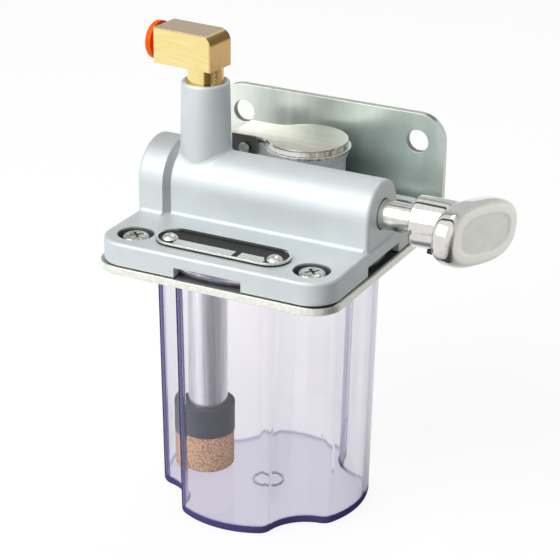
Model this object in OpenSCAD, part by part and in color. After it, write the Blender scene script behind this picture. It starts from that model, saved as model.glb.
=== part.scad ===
// Manual oil pump: a hand lubricator with a clear tank, a cast pump head and a pull handle.
// Frame: origin on the floor under the middle of the tank, X to the handle, Y to the wall, Z up.

/* [Tank] */
// drop of the tank below the bracket plate
tank_drop = 80.4; // [60:0.2:110]
// reach of each lobe from the middle, at the bottom
tank_reach = 32.6; // [31.5:0.1:33.2]
// radius of the lobes' outer faces, at the bottom
lobe_r = 28.9; // [27:0.1:31]
// radius of the corner flutes, at the bottom
flute_r = 13.7; // [13:0.1:14.4]
// rounding between a lobe and a flute
corner_r = 4.9; // [4.4:0.1:5.4]
// draft of the moulding, in degrees
tank_draft = 1.0; // [0.5:0.1:1.2]
// thickness of the tank's wall
tank_wall = 1.5; // [1.2:0.1:2.2]
// thickness of the tank's floor
floor_t = 1.8; // [1.4:0.1:2.6]
// rounding of the tank's bottom edge
foot_r = 1.6; // [1.2:0.1:2.4]
// thickness of the tank's flange
flange_t = 2.4; // [1.8:0.1:3]
// width of the flange outside the wall
flange_w = 2.6; // [2:0.1:2.8]
// thickness of the gasket under the flange
gasket_t = 1.0; // [0.6:0.1:1.4]

/* [Pump body] */
// width and depth of the square cover
cover_w = 76; // [74:0.5:84]
// corner radius of the cover
cover_r = 8.7; // [6:0.1:11]
// height of the cover
cover_h = 7.35; // [6.8:0.05:9]
// rounding of the cover's top edge
cover_edge = 1.0; // [0.5:0.1:1.4]
// width of the windows in the skirt
window_w = 21.8; // [16:0.2:24]
// spacing of the cover screws
screw_pitch = 57.6; // [56.6:0.1:58.4]
// height of the cylinder's axis above the skirt's foot
axis_h = 16.1; // [15.6:0.1:18]
// outer radius of the cylinder housing
housing_r = 10.2; // [9.8:0.1:11]
// radius of the left end flange
end_r = 12.05; // [11.4:0.05:13]
// radius of the cylinder's bore
bore_r = 7.4; // [6.8:0.1:7.8]
// radius of the outlet tower at its mouth
tower_r = 7.27; // [7:0.01:7.8]
// height of the tower's mouth above the skirt's foot
tower_h = 47.4; // [45:0.2:55]
// distance of the valve axis left of the middle
valve_x = 21.3; // [20:0.1:22]

/* [Bracket] */
// sheet thickness
plate_t = 2.2; // [1.6:0.1:3]
// overhang of the plate past the cover
plate_over = 0.85; // [0.5:0.05:2]
// height of the upright above the plate
upright_h = 33.4; // [30:0.2:45]
// spacing of the two wall holes
hole_pitch = 60; // [50:1:62]
// diameter of the wall holes
hole_d = 7.2; // [5:0.1:9]
// height of the wall holes above the plate
hole_h = 24.5; // [18:0.5:25]

/* [Filler] */
// radius of the cast neck
neck_r = 11.9; // [11.4:0.1:12.2]
// distance of the neck behind the middle
neck_y = 25.3; // [24.6:0.1:25.6]
// radius of the lid
lid_r = 12.6; // [12.3:0.1:12.8]
// radius of the cup's lip
lip_r = 13.5; // [13.2:0.1:14]
// height of the lid's top above the skirt's foot
lid_h = 25.3; // [25:0.1:27]

/* [Plunger] */
// radius of the rod
rod_r = 4.4; // [4:0.1:4.6]
// stroke of the plunger
stroke = 20; // [14:1:20]
// start of the handle's hub, from the middle
hub_x = 48.2; // [46:0.1:52]
// radius of the hub
hub_r = 7.65; // [7.2:0.05:8.2]
// plane of the handle's face, from the middle
face_x = 69.4; // [68:0.2:75]
// length of the handle bar
bar_l = 54; // [46:0.5:60]
// width of the handle bar
bar_w = 19.2; // [18.2:0.2:21]
// turn of the handle as shown, in degrees
bar_turn = -14.7; // [-30:0.1:30]

/* [Outlet] */
// radius of the elbow's stem
stem_r = 5.4; // [5:0.1:5.5]
// half of the elbow's square section
elbow_s = 5.4; // [5.4:0.1:5.8]
// reach of the elbow left of the middle
elbow_x = 36.1; // [35:0.1:40]
// turn of the elbow on the tower, in degrees
elbow_turn = -4.5; // [-180:0.5:180]
// radius of the outlet tube
tube_r = 3.0; // [2.4:0.1:3.1]

/* [Fits] */
// running clearance of sliding pieces, on the radius
run_fit = 0.05; // [0.03:0.01:0.08]
// clearance of the tank in the bracket and the cover
loose_fit = 0.35; // [0.3:0.05:0.4]

/* [Hidden] */
$fn = 64;
z_part = tank_drop + plate_t;
z_top = z_part + cover_h;
z_axis = z_part + axis_h;
z_roof = z_part + gasket_t + flange_t;
z_tower = z_part + tower_h;
half = cover_w / 2;
screw_p = screw_pitch / 2;
lobe_off = tank_reach - lobe_r;
inner_r = 1.0;
wall_grow = (z_part - foot_r) * tan(tank_draft);
flange_grow = wall_grow + flange_w;
lobe_c = [0, -lobe_off];
flute_c = [screw_p, -screw_p];
to_flute = flute_c - lobe_c;
flute_d = norm(to_flute);
reach_a = lobe_r - corner_r;
reach_b = flute_r + corner_r;
along = (reach_a * reach_a - reach_b * reach_b + flute_d * flute_d) / (2 * flute_d);
aside = sqrt(reach_a * reach_a - along * along);
dir_f = to_flute / flute_d;
corner_t = lobe_c + dir_f * along - [-dir_f[1], dir_f[0]] * aside;
dir_lobe = (corner_t - lobe_c) / norm(corner_t - lobe_c);
dir_flute = (flute_c - corner_t) / norm(flute_c - corner_t);
corner_c = corner_t + (dir_lobe + dir_flute) * 0.012;
upright_gap = 1.7;
upright_y = max(half, tank_reach + flange_grow, neck_y + lip_r) + upright_gap;
bend_r = 2.5;
wall_y = upright_y + plate_t;
plate_half = half + plate_over;
end_x0 = -half - 0.2;
end_x1 = -half + 8.4;
end_x2 = -half + 10.3;
housing_x = half - 0.6;
end_edge = 1.2;
fillet_r = 1.2;
lip_t = 1.2;
lip_gap = 0.35;
plug_x0 = end_x0 + 0.8;
plug_x1 = plug_x0 + 8.9;
groove_x0 = plug_x1 - 3.1;
groove_x1 = plug_x1 - 1.3;
groove_d = 1.2;
head_r = 4.2;
head_h = 2.7;
head_edge = 1.3;
recess_r = 5.5;
recess_d = 3.0;
shank_r = 2.0;
bush_x = 28;
bush_r = 6.2;
seal_x = housing_x - lip_t - 2.2;
piston_x0 = -14;
piston_x1 = -4;
ring_x0 = piston_x0 + 2.8;
ring_x1 = ring_x0 + 2.6;
ring_d = 1.8;
coil_r = 5.9;
coil_wire = 0.55;
coil_end = bush_x - 2.05;
spigot_r = 3.0;
seat_z = z_part + 2.9;
seat_t = 1.5;
ball_r = 2.0;
seat_hole = 1.2;
seat_cut = 0.7;
ball_gap = 0.2;
ball_z = seat_z - seat_cut - seat_hole + 2 * ball_r * sin(45) + ball_gap;
ball_lift = 1.2;
out_seat_z = z_axis + bore_r + 4.5;
out_ball_r = 2.4;
out_hole = 1.6;
out_cut = 0.9;
out_ball_z = out_seat_z - out_cut - out_hole + 2 * out_ball_r * sin(45) + ball_gap;
tube_r_out = 6.4;
tube_r_in = 4.9;
boss_r = tube_r_out + 2.5;
boss_drop = 1.4;
tube_bottom = 16.6;
collar_z0 = 15.2;
collar_z1 = 24.6;
collar_r = 8.7;
filter_z0 = 3.0;
filter_r = 8.5;
elbow_z0 = z_tower + 4.3;
elbow_zc = elbow_z0 + elbow_s;
elbow_end = 5.3;
socket_r = 4.4;
sleeve_r = 3.9;
press_r = 5.8;
seal_x1 = -elbow_x + 9.6;
seal_x0 = seal_x1 - 2.2;
grip_x0 = seal_x0 - 1.2;
sleeve_x = grip_x0 - 1.4;
stem_z = z_tower - 8.6;
cup_z0 = z_part + 19.0;
lid_z = z_part + lid_h;
rim_t = 2.0;
lid_sheet = 0.8;
cup_z1 = lid_z - rim_t - 0.2;
cup_r = 9.3;
pin_x = -18;
pin_z = lid_z - 4.3;
pin_r = 1.2;
tongue_half = 6.4;
tongue_x = pin_x - 4.7;
blend_r = 8;
bar_t = 6.6;
bar_edge = 3.0;
panel_d = 0.3;
web_r = 11;
grub_x = hub_x + 6.4;
grub_r = 2.1;
name_l = 42.8;
name_w = 12.2;
name_rim = 0.6;
name_t = 0.5;
name_x = -0.6;
name_y = -half + 10.8;
rivet_x = 17.1;
rivet_y = -0.8;
dome_r = 3.0;
dome_sink = 1.6;
stripe_y = -3.2;
stripe_w = 3.7;
long_stripe = [-14.2, 5.1];
short_stripe = [7.0, 15.2];
rivet_r = 1.25;

// Shared shapes

module x_cyl(r, x0, x1) {
  translate([x0, 0, 0]) rotate([0, 90, 0]) cylinder(r = r, h = x1 - x0);
}

module y_cyl(r, y0, y1) {
  translate([0, y0, 0]) rotate([-90, 0, 0]) cylinder(r = r, h = y1 - y0);
}

module x_ring(ro, ri, x0, x1) {
  difference() {
    x_cyl(ro, x0, x1);
    x_cyl(ri, x0 - 1, x1 + 1);
  }
}

module quarter(r, turn) {
  intersection() {
    circle(r);
    rotate(turn) square(r + 1);
  }
}

// profile of a drafted wall: foot rounding br at the outside, then a wall that leans out
module wall_profile(r, h, br, lean, below = 0, above = 0) {
  polygon([[0, br], [r, br], [r + (h + above - br) * tan(lean), h + above], [0, h + above]]);
  if (br + below > 0) translate([0, -below]) square([r - br, br + below]);
  if (br > 0) translate([r - br, br]) quarter(br, -90);
}

// profile of a flute's cutter, the other side of the same wall
module flute_profile(r, h, br, lean) {
  polygon([[0, br], [r, br], [r - (h + 1 - br) * tan(lean), h + 1], [0, h + 1]]);
  difference() {
    translate([0, -1]) square([r + br, br + 1]);
    if (br > 0) translate([r + br, br]) circle(br);
  }
}

// cutter that rounds the edge between a lobe and a flute
module corner_cut(h, grow, br, lean) {
  difference() {
    translate([0, 0, -1]) linear_extrude(height = h + 2)
      polygon([corner_c, corner_c + 20 * dir_lobe, corner_c + 20 * dir_flute]);
    translate([corner_c[0], corner_c[1], 0])
      rotate_extrude() wall_profile(corner_r + grow, h, br, lean, 2, 2);
  }
}

// solid with four lobes and four corner flutes, grown outwards by grow
module lobed_solid(z0, h, grow, br = 0, lean = 0) {
  translate([0, 0, z0]) difference() {
    for (k = [0 : 3]) rotate(90 * k) translate([0, -lobe_off, 0])
      rotate_extrude() wall_profile(lobe_r + grow, h, br, lean);
    for (k = [0 : 3]) rotate(90 * k) {
      translate([flute_c[0], flute_c[1], 0]) rotate_extrude() flute_profile(flute_r - grow, h, br, lean);
      corner_cut(h, grow, br, lean);
      mirror([1, 0, 0]) corner_cut(h, grow, br, lean);
    }
  }
}

// rectangle with its outer top corner rounded
module edge_profile(w, h, e) {
  square([w, h - e]);
  translate([0, h - e]) square([w - e, e]);
  translate([w - e, h - e]) quarter(e, 0);
}

// plate with round corners and a rounded top edge, made of straight and turned edges
module rounded_plate(w, r, h, e) {
  s = w / 2 - r;
  translate([-s, -s, 0]) cube([2 * s, 2 * s, h]);
  for (k = [0 : 3]) rotate(90 * k) {
    translate([s, s, 0]) rotate_extrude(angle = 90) edge_profile(r, h, e);
    translate([s, s, 0]) rotate([90, 0, 0]) linear_extrude(height = 2 * s) edge_profile(r, h, e);
  }
}

module rounded_rect(w, d, r) {
  square([w, d - 2 * r], center = true);
  square([w - 2 * r, d], center = true);
  for (sx = [-1, 1], sy = [-1, 1]) translate([sx * (w / 2 - r), sy * (d / 2 - r)]) circle(r);
}

module stadium(l, w) {
  square([l - w, w], center = true);
  for (s = [-1, 1]) translate([s * (l - w) / 2, 0]) circle(w / 2);
}

module at_screws() {
  for (sx = [-1, 1], sy = [-1, 1]) translate([sx * screw_p, sy * screw_p, 0]) children();
}

module at_rivets() {
  for (s = [-1, 1]) translate([name_x + s * rivet_x, name_y + rivet_y, z_top]) children();
}

// coil of round wire about Z, from z0 to z1, with flat steps and sides given
module coil(r, wire, z0, z1, turns, steps, sides) {
  n = turns * steps;
  points = [for (i = [0 : n], j = [0 : sides - 1])
    let (a = 360 * i / steps, b = 360 * j / sides, q = r + wire * cos(b))
      [q * cos(a), q * sin(a), z0 + (z1 - z0) * i / n + wire * sin(b)]];
  walls = [for (i = [0 : n - 1], j = [0 : sides - 1])
    let (k = (j + 1) % sides)
      [i * sides + j, (i + 1) * sides + j, (i + 1) * sides + k, i * sides + k]];
  cap0 = [for (j = [0 : sides - 1]) j];
  cap1 = [for (j = [sides - 1 : -1 : 0]) n * sides + j];
  polyhedron(points, concat(walls, [cap0], [cap1]), convexity = 10);
}

// Pump head

// half outline of the housing beside its axis: x is the radius, y runs along the axis
module housing_half() {
  translate([0, end_x0 + end_edge]) square([end_r, end_x1 - end_x0 - end_edge]);
  translate([0, end_x0]) square([end_r - end_edge, end_edge]);
  translate([end_r - end_edge, end_x0 + end_edge]) quarter(end_edge, -90);
  polygon([[0, end_x1], [end_r, end_x1], [housing_r, end_x2], [0, end_x2]]);
  translate([0, end_x2]) square([housing_r, housing_x - end_edge - end_x2]);
  translate([0, housing_x - end_edge]) square([housing_r - end_edge, end_edge]);
  translate([housing_r - end_edge, housing_x - end_edge]) quarter(end_edge, 0);
}

// rounded corner between the cover's top and a straight wall beside the axis
module wall_fillet(wall, x0, x1) {
  translate([x0, wall, z_top]) rotate([90, 0, 90]) linear_extrude(height = x1 - x0) difference() {
    translate([-0.5, -0.5]) square(0.5 + 0.8 * fillet_r);
    translate([fillet_r, fillet_r]) circle(fillet_r);
  }
}

module housing() {
  translate([0, 0, z_axis]) rotate([0, 90, 0]) rotate_extrude() housing_half();
  translate([0, 0, z_top - 1]) linear_extrude(height = axis_h - cover_h + 1) {
    rotate(-90) housing_half();
    mirror([0, 1, 0]) rotate(-90) housing_half();
  }
  for (s = [0, 1]) mirror([0, s, 0]) {
    wall_fillet(end_r, end_x0 + end_edge, end_x1);
    wall_fillet(housing_r, end_x2, housing_x - end_edge);
  }
}

module tower() {
  lean = tan(1.2);
  base = z_axis + 3;
  h = z_tower - base;
  translate([-valve_x, 0, base]) rotate_extrude() {
    polygon([[0, 0], [tower_r + h * lean, 0], [tower_r + 0.8 * lean, h - 0.8], [0, h - 0.8]]);
    translate([0, h - 0.8]) square([tower_r + 0.8 * lean - 0.8, 0.8]);
    translate([tower_r + 0.8 * lean - 0.8, h - 0.8]) quarter(0.8, 0);
  }
}

module pump_body() {
  color("lightsteelblue") difference() {
    union() {
      translate([0, 0, z_part]) rounded_plate(cover_w, cover_r, cover_h, cover_edge);
      housing();
      tower();
      translate([0, neck_y, z_top - 1]) cylinder(r = neck_r, h = cup_z0 - z_top + 1);
      translate([-valve_x, 0, z_part - boss_drop]) cylinder(r = boss_r, h = 6);
    }
    difference() {
      lobed_solid(z_part - 4, gasket_t + flange_t + 4, flange_grow + loose_fit);
      translate([-valve_x, 0, z_part - boss_drop]) cylinder(r = boss_r, h = 6);
    }
    for (k = [0 : 3]) rotate(90 * k)
      translate([-window_w / 2, -half - 1, z_part - 1]) cube([window_w, 9, gasket_t + flange_t + 1]);
    at_screws() {
      translate([0, 0, z_part - 1]) cylinder(r = shank_r + 0.2, h = cover_h + 2);
      translate([0, 0, z_top - recess_d]) cylinder(r = recess_r, h = recess_d + 1);
    }
    translate([0, 0, z_axis]) {
      x_cyl(bore_r, end_x0 - 1, bush_x);
      x_cyl(bush_r, bush_x - 1, housing_x - lip_t);
      x_cyl(rod_r + lip_gap, housing_x - 2 * lip_t, housing_x + 1);
    }
    // suction side: tube socket, ball chamber and a cross-shaped port
    translate([-valve_x, 0, 0]) {
      translate([0, 0, z_part - 2]) cylinder(r = tube_r_out, h = seat_z - z_part + 2);
      translate([0, 0, seat_z - 0.1]) cylinder(r = 3.0, h = ball_z + ball_r + ball_lift + 0.1 - seat_z + 0.1);
      for (a = [0, 90]) rotate(a)
        translate([-2.8, -0.7, seat_z + 1]) cube([5.6, 1.4, z_axis - bore_r + 1 - seat_z]);
    }
    // delivery side: port, seat, ball chamber and the thread of the elbow
    translate([-valve_x, 0, 0]) {
      translate([0, 0, z_axis]) cylinder(r = out_hole, h = out_seat_z - z_axis + 1);
      translate([0, 0, out_seat_z - out_cut]) cylinder(r1 = out_hole, r2 = out_hole + out_cut, h = out_cut);
      translate([0, 0, out_seat_z]) cylinder(r = 3.6, h = z_tower - out_seat_z - 8);
      translate([0, 0, stem_z - 0.1]) cylinder(r = stem_r, h = z_tower - stem_z + 1);
      translate([0, 0, z_tower - 1.0]) cylinder(r1 = stem_r, r2 = stem_r + 1.1, h = 1.1);
    }
    // filler: a wide neck over a hole into the tank
    translate([0, neck_y, z_top - 0.6]) cylinder(r = cup_r, h = cup_z0 - z_top + 2);
    translate([0, neck_y - 2, z_roof - 1]) cylinder(r = 7.0, h = 6);
    at_rivets() translate([0, 0, -3]) cylinder(r = rivet_r, h = 4);
    // dark joint line at the skirt's foot
    difference() {
      translate([-half - 1, -half - 1, z_part - 1]) cube([cover_w + 2, cover_w + 2, 1.35]);
      translate([0, 0, z_part - 2]) linear_extrude(height = 4)
        rounded_rect(cover_w - 0.9, cover_w - 0.9, cover_r - 0.45);
    }
  }
}

module mounting_bracket() {
  color("gainsboro") difference() {
    union() {
      translate([0, 0, tank_drop]) linear_extrude(height = plate_t) {
        translate([-plate_half, -plate_half + 9.2]) square([2 * plate_half, upright_y - bend_r + plate_half - 9.2]);
        translate([-plate_half + 9.2, -plate_half]) square([2 * plate_half - 18.4, 9.2]);
        for (s = [-1, 1]) translate([s * (plate_half - 9.2), -plate_half + 9.2]) circle(9.2);
      }
      translate([-plate_half, upright_y - bend_r, z_part + bend_r]) rotate([90, 0, 90])
        linear_extrude(height = 2 * plate_half) difference() {
          quarter(bend_r + plate_t, -90);
          circle(bend_r);
        }
      translate([0, wall_y, z_part]) rotate([90, 0, 0]) linear_extrude(height = plate_t) {
        translate([-plate_half, bend_r]) square([2 * plate_half, upright_h - bend_r - 8.5]);
        translate([-plate_half + 8.5, upright_h - 9]) square([2 * plate_half - 17, 9]);
        for (s = [-1, 1]) translate([s * (plate_half - 8.5), upright_h - 8.5]) circle(8.5);
      }
    }
    lobed_solid(tank_drop - 1, plate_t + 2, wall_grow + loose_fit);
    at_screws() translate([0, 0, tank_drop - 1]) cylinder(r = shank_r, h = plate_t + 2);
    for (s = [-1, 1]) translate([s * hole_pitch / 2, 0, z_part + hole_h])
      y_cyl(hole_d / 2, upright_y - 1, wall_y + 1);
  }
}

module oil_tank() {
  color("lavender") {
    difference() {
      union() {
        lobed_solid(0, z_part + gasket_t + 0.5, 0, foot_r, tank_draft);
        lobed_solid(z_part + gasket_t, flange_t, flange_grow);
      }
      lobed_solid(floor_t, z_roof - floor_t + 1, -tank_wall, inner_r, tank_draft);
    }
    translate([0, 0, floor_t - 0.1]) difference() {
      cylinder(r = 4.5, h = 0.5);
      translate([0, 0, -1]) cylinder(r = 3.8, h = 3);
    }
  }
}

module tank_gasket() {
  color("dimgray") difference() {
    lobed_solid(z_part, gasket_t, flange_grow);
    lobed_solid(z_part - 1, gasket_t + 2, wall_grow + loose_fit);
  }
}

module cover_screws() {
  color("silver") at_screws() {
    difference() {
      union() {
        translate([0, 0, z_top - recess_d]) rotate_extrude() {
          edge_profile(head_r, head_h, head_edge);
        }
        translate([0, 0, tank_drop - 1.6]) cylinder(r = shank_r, h = z_top - recess_d - tank_drop + 1.6);
      }
      for (a = [45, 135]) rotate(a)
        translate([-2.2, -0.45, z_top - recess_d + head_h - 1.4]) cube([4.4, 0.9, 2]);
    }
  }
}

module nameplate() {
  color("silver") difference() {
    translate([name_x, name_y, z_top]) {
      linear_extrude(height = name_t) stadium(name_l, name_w);
      linear_extrude(height = name_t + 0.6) difference() {
        stadium(name_l, name_w);
        stadium(name_l - 2 * name_rim, name_w - 2 * name_rim);
      }
      linear_extrude(height = name_t + 0.3) {
        for (run = [long_stripe, short_stripe])
          translate([run[0], stripe_y - stripe_w / 2]) square([run[1] - run[0], stripe_w]);
      }
    }
    at_rivets() {
      translate([0, 0, -1]) cylinder(r = rivet_r, h = 4);
      translate([0, 0, name_t]) cylinder(r = dome_r, h = 2);
    }
  }
}

module nameplate_rivets() {
  color("whitesmoke") at_rivets() {
    translate([0, 0, -2.6]) cylinder(r = rivet_r, h = 2.7 + name_t);
    translate([0, 0, name_t]) intersection() {
      translate([0, 0, -dome_sink]) sphere(r = dome_r);
      cylinder(r = dome_r + 1, h = dome_r + 1);
    }
  }
}

// Cylinder, piston and handle

module end_plug() {
  color("silver") translate([0, 0, z_axis]) difference() {
    x_cyl(bore_r, plug_x0, plug_x1);
    x_ring(bore_r + 1, bore_r - groove_d, groove_x0, groove_x1);
    translate([end_x0 - 1, 0, 0]) rotate([0, 90, 0]) cylinder(r = 4.6, h = 5.5, $fn = 6);
  }
}

module end_plug_seal() {
  color("black") translate([0, 0, z_axis]) x_ring(bore_r, bore_r - groove_d, groove_x0, groove_x1);
}

module rod_bush() {
  color("peru") translate([0, 0, z_axis]) difference() {
    union() {
      x_cyl(bore_r, bush_x - 1.5, bush_x);
      x_cyl(bush_r, bush_x - 0.5, seal_x);
    }
    x_cyl(rod_r + run_fit, bush_x - 3, housing_x + 1);
  }
}

module rod_seal() {
  color("black") translate([0, 0, z_axis]) x_ring(bush_r, rod_r + run_fit, seal_x, housing_x - lip_t);
}

module piston() {
  color("goldenrod") translate([0, 0, z_axis]) difference() {
    x_cyl(bore_r - run_fit, piston_x0, piston_x1);
    x_ring(bore_r + 1, bore_r - ring_d, ring_x0, ring_x1);
    x_cyl(spigot_r + run_fit, piston_x0 - 1, piston_x1 + 1);
  }
}

module piston_seal() {
  color("black") translate([0, 0, z_axis]) x_ring(bore_r - 0.02, bore_r - ring_d, ring_x0, ring_x1);
}

module return_spring() {
  color("slategray") translate([0, 0, z_axis]) rotate([0, 90, 0])
    coil(coil_r, coil_wire, piston_x1 + coil_wire, coil_end, 7, 20, 8);
}

module plunger_rod() {
  color("silver") translate([0, 0, z_axis]) {
    x_cyl(rod_r, piston_x1 + run_fit, hub_x + 11);
    x_cyl(spigot_r, piston_x0 - 4.2, piston_x1 + 1);
  }
}

module piston_nut() {
  color("silver") translate([0, 0, z_axis]) difference() {
    translate([piston_x0 - 3.6, 0, 0]) rotate([0, 90, 0]) cylinder(r = 5.4, h = 3.6 - run_fit, $fn = 6);
    x_cyl(spigot_r, piston_x0 - 6, piston_x0 + 1);
  }
}

// half section of the handle bar: x out from the bar's middle, y along the rod
module bar_half() {
  w = bar_w / 2;
  square([w - bar_edge, bar_t]);
  translate([0, bar_edge]) square([w, bar_t - 2 * bar_edge]);
  translate([w - bar_edge, bar_edge]) quarter(bar_edge, -90);
  translate([w - bar_edge, bar_t - bar_edge]) quarter(bar_edge, 0);
}

// bar with half-round ends and rounded edges, lying along y
module bar_solid() {
  s = (bar_l - bar_w) / 2;
  translate([0, s, 0]) rotate([90, 0, 0]) linear_extrude(height = 2 * s) {
    bar_half();
    mirror([1, 0, 0]) bar_half();
  }
  for (k = [0, 180]) rotate(k) translate([0, s, 0]) rotate_extrude(angle = 180) bar_half();
}

module handle() {
  back_x = face_x - bar_t;
  color("gainsboro") translate([0, 0, z_axis]) rotate([bar_turn, 0, 0]) difference() {
    union() {
      translate([hub_x, 0, 0]) rotate([0, 90, 0]) rotate_extrude() {
        square([hub_r - 0.6, 1]);
        translate([0, 0.6]) square([hub_r, face_x - hub_x - 4]);
        translate([hub_r - 0.6, 0.6]) quarter(0.6, -90);
      }
      translate([back_x, 0, 0]) rotate([0, 90, 0]) bar_solid();
      // webs that spread from the hub into the bar
      intersection() {
        translate([back_x + 2 - web_r, 0, 0]) rotate([0, 90, 0]) rotate_extrude() difference() {
          square([hub_r + web_r, web_r]);
          translate([hub_r + web_r, 0]) circle(web_r);
        }
        translate([back_x + 1 - web_r, 0, 0]) rotate([0, 90, 0]) linear_extrude(height = web_r + 1)
          rotate(90) stadium(bar_l - 6, 2 * hub_r - 1);
      }
    }
    translate([face_x - panel_d, 0, 0]) rotate([0, 90, 0]) linear_extrude(height = 1)
      rotate(90) stadium(bar_l - 14, bar_w - 8);
    x_cyl(rod_r, hub_x - 1, hub_x + 11);
    translate([grub_x, 0, 0]) rotate([180, 0, 0]) cylinder(r = grub_r, h = hub_r + 3);
  }
}

module handle_grub_screw() {
  color("black") translate([0, 0, z_axis]) rotate([bar_turn, 0, 0]) translate([grub_x, 0, 0])
    rotate([180, 0, 0]) difference() {
      translate([0, 0, rod_r + 0.1]) cylinder(r = grub_r, h = hub_r + 0.9 - rod_r);
      translate([0, 0, hub_r - 0.2]) cylinder(r = 1.15, h = 3, $fn = 6);
    }
}

// Suction side

module suction_seat() {
  color("goldenrod") translate([-valve_x, 0, seat_z - seat_t]) difference() {
    cylinder(r = tube_r_out, h = seat_t);
    translate([0, 0, -1]) cylinder(r = seat_hole, h = 4);
    translate([0, 0, seat_t - seat_cut]) cylinder(r1 = seat_hole, r2 = seat_hole + seat_cut + 0.1, h = seat_cut + 0.1);
  }
}

module suction_ball() {
  color("silver") translate([-valve_x, 0, ball_z]) sphere(r = ball_r);
}

module suction_tube() {
  color("silver") translate([-valve_x, 0, tube_bottom]) difference() {
    cylinder(r = tube_r_out, h = seat_z - seat_t - tube_bottom);
    translate([0, 0, -1]) cylinder(r = tube_r_in, h = seat_z - seat_t - tube_bottom + 2);
  }
}

module filter_collar() {
  color("dimgray") translate([-valve_x, 0, collar_z0]) difference() {
    cylinder(r = collar_r, h = collar_z1 - collar_z0);
    translate([0, 0, tube_bottom - collar_z0]) cylinder(r = tube_r_out, h = 20);
    translate([0, 0, -1]) cylinder(r = tube_r_in, h = 4);
  }
}

module filter_element() {
  color("tan") translate([-valve_x, 0, filter_z0]) difference() {
    rotate_extrude() {
      translate([0, 1]) square([filter_r, collar_z0 - filter_z0 - 1]);
      square([filter_r - 1, 1]);
      translate([filter_r - 1, 1]) quarter(1, -90);
    }
    translate([0, 0, 3]) cylinder(r = tube_r_in, h = 20);
  }
}

// Delivery side

module outlet_ball() {
  color("silver") translate([-valve_x, 0, out_ball_z]) sphere(r = out_ball_r);
}

module outlet_spring() {
  z0 = out_ball_z + 1.25;
  color("slategray") translate([-valve_x, 0, 0]) coil(2.3, 0.28, z0 + 0.28, stem_z - 0.28, 5, 16, 6);
}

// turns the elbow and what sits in it about the tower's axis
module on_tower() {
  translate([-valve_x, 0, 0]) rotate(elbow_turn) translate([valve_x, 0, 0]) children();
}

module outlet_elbow() {
  e = 3.5;
  x1 = -valve_x + elbow_end;
  color("gold") on_tower() difference() {
    union() {
      translate([0, elbow_s, elbow_z0]) rotate([90, 0, 0]) linear_extrude(height = 2 * elbow_s) {
        translate([-elbow_x, 0]) square([elbow_x + x1 - e, 2 * elbow_s]);
        translate([x1 - e, 0]) square([e, 2 * elbow_s - e]);
        translate([x1 - e, 2 * elbow_s - e]) quarter(e, 0);
      }
      translate([-valve_x, 0, stem_z]) cylinder(r = stem_r, h = elbow_z0 - stem_z + 1);
    }
    translate([-valve_x, 0, stem_z - 1]) cylinder(r = 1.6, h = elbow_zc - stem_z + 1);
    translate([0, 0, elbow_zc]) {
      x_cyl(1.8, seal_x1, -valve_x + 1.7);
      x_cyl(tube_r + 0.1, seal_x1 - 0.3, seal_x1 + 2);
      x_cyl(socket_r, -elbow_x - 1, seal_x1);
    }
  }
}

module tube_seal() {
  color("black") on_tower() translate([0, 0, elbow_zc]) x_ring(socket_r, tube_r + 0.05, seal_x0, seal_x1);
}

module tube_grip() {
  color("silver") on_tower() translate([0, 0, elbow_zc]) difference() {
    x_ring(socket_r, tube_r + 0.1, grip_x0, seal_x0);
    for (a = [0 : 45 : 315]) rotate([a, 0, 0])
      translate([grip_x0 - 0.4, -0.2, 0]) cube([2, 0.4, socket_r - 0.5]);
  }
}

module collar_guide() {
  color("gold") on_tower() translate([0, 0, elbow_zc]) x_ring(socket_r, sleeve_r, -elbow_x, -elbow_x + 3.2);
}

module release_collar() {
  h0 = -elbow_x - 1.0;
  color("orangered") on_tower() translate([0, 0, elbow_zc]) difference() {
    union() {
      x_cyl(sleeve_r - run_fit, h0 - 1, sleeve_x);
      translate([h0, 0, 0]) rotate([0, -90, 0]) rotate_extrude() edge_profile(press_r, 2.3, 1.0);
    }
    x_cyl(tube_r + 0.15, h0 - 4, sleeve_x + 1);
    translate([h0 - 2.4, 0, 0]) rotate([0, 90, 0]) cylinder(r1 = tube_r + 0.75, r2 = tube_r + 0.15, h = 0.7);
  }
}

// Filler

module filler_cup() {
  ear = 0.8;
  color("silver") difference() {
    union() {
      translate([0, neck_y, cup_z0]) cylinder(r1 = neck_r, r2 = lip_r, h = cup_z1 - cup_z0);
      translate([0, neck_y, cup_z0 - 8]) cylinder(r = cup_r, h = 9);
      for (s = [-1, 1]) translate([0, neck_y + s * 4.7 - ear / 2, 0]) {
        translate([pin_x, 0, cup_z0]) cube([-pin_x - 10, ear, cup_z1 - cup_z0 - 0.2]);
        translate([pin_x, 0, pin_z]) y_cyl(2.0, 0, ear);
      }
    }
    translate([0, neck_y, cup_z0 - 9]) cylinder(r = cup_r - 0.8, h = 20);
    translate([pin_x, 0, pin_z]) y_cyl(pin_r, neck_y - 8, neck_y + 8);
  }
}

// lid seen from above: the disc, the hinge tongue and the hollow curves between them
module lid_outline() {
  blend_y = tongue_half + blend_r;
  blend_x = -sqrt(pow(lid_r + blend_r, 2) - pow(blend_y, 2));
  circle(lid_r);
  translate([tongue_x, -tongue_half]) square([-tongue_x, 2 * tongue_half]);
  for (s = [0, 1]) mirror([0, s, 0]) difference() {
    polygon([[0, 0], [blend_x, 0], [blend_x, blend_y]]);
    translate([blend_x, blend_y]) circle(blend_r);
  }
}

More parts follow.
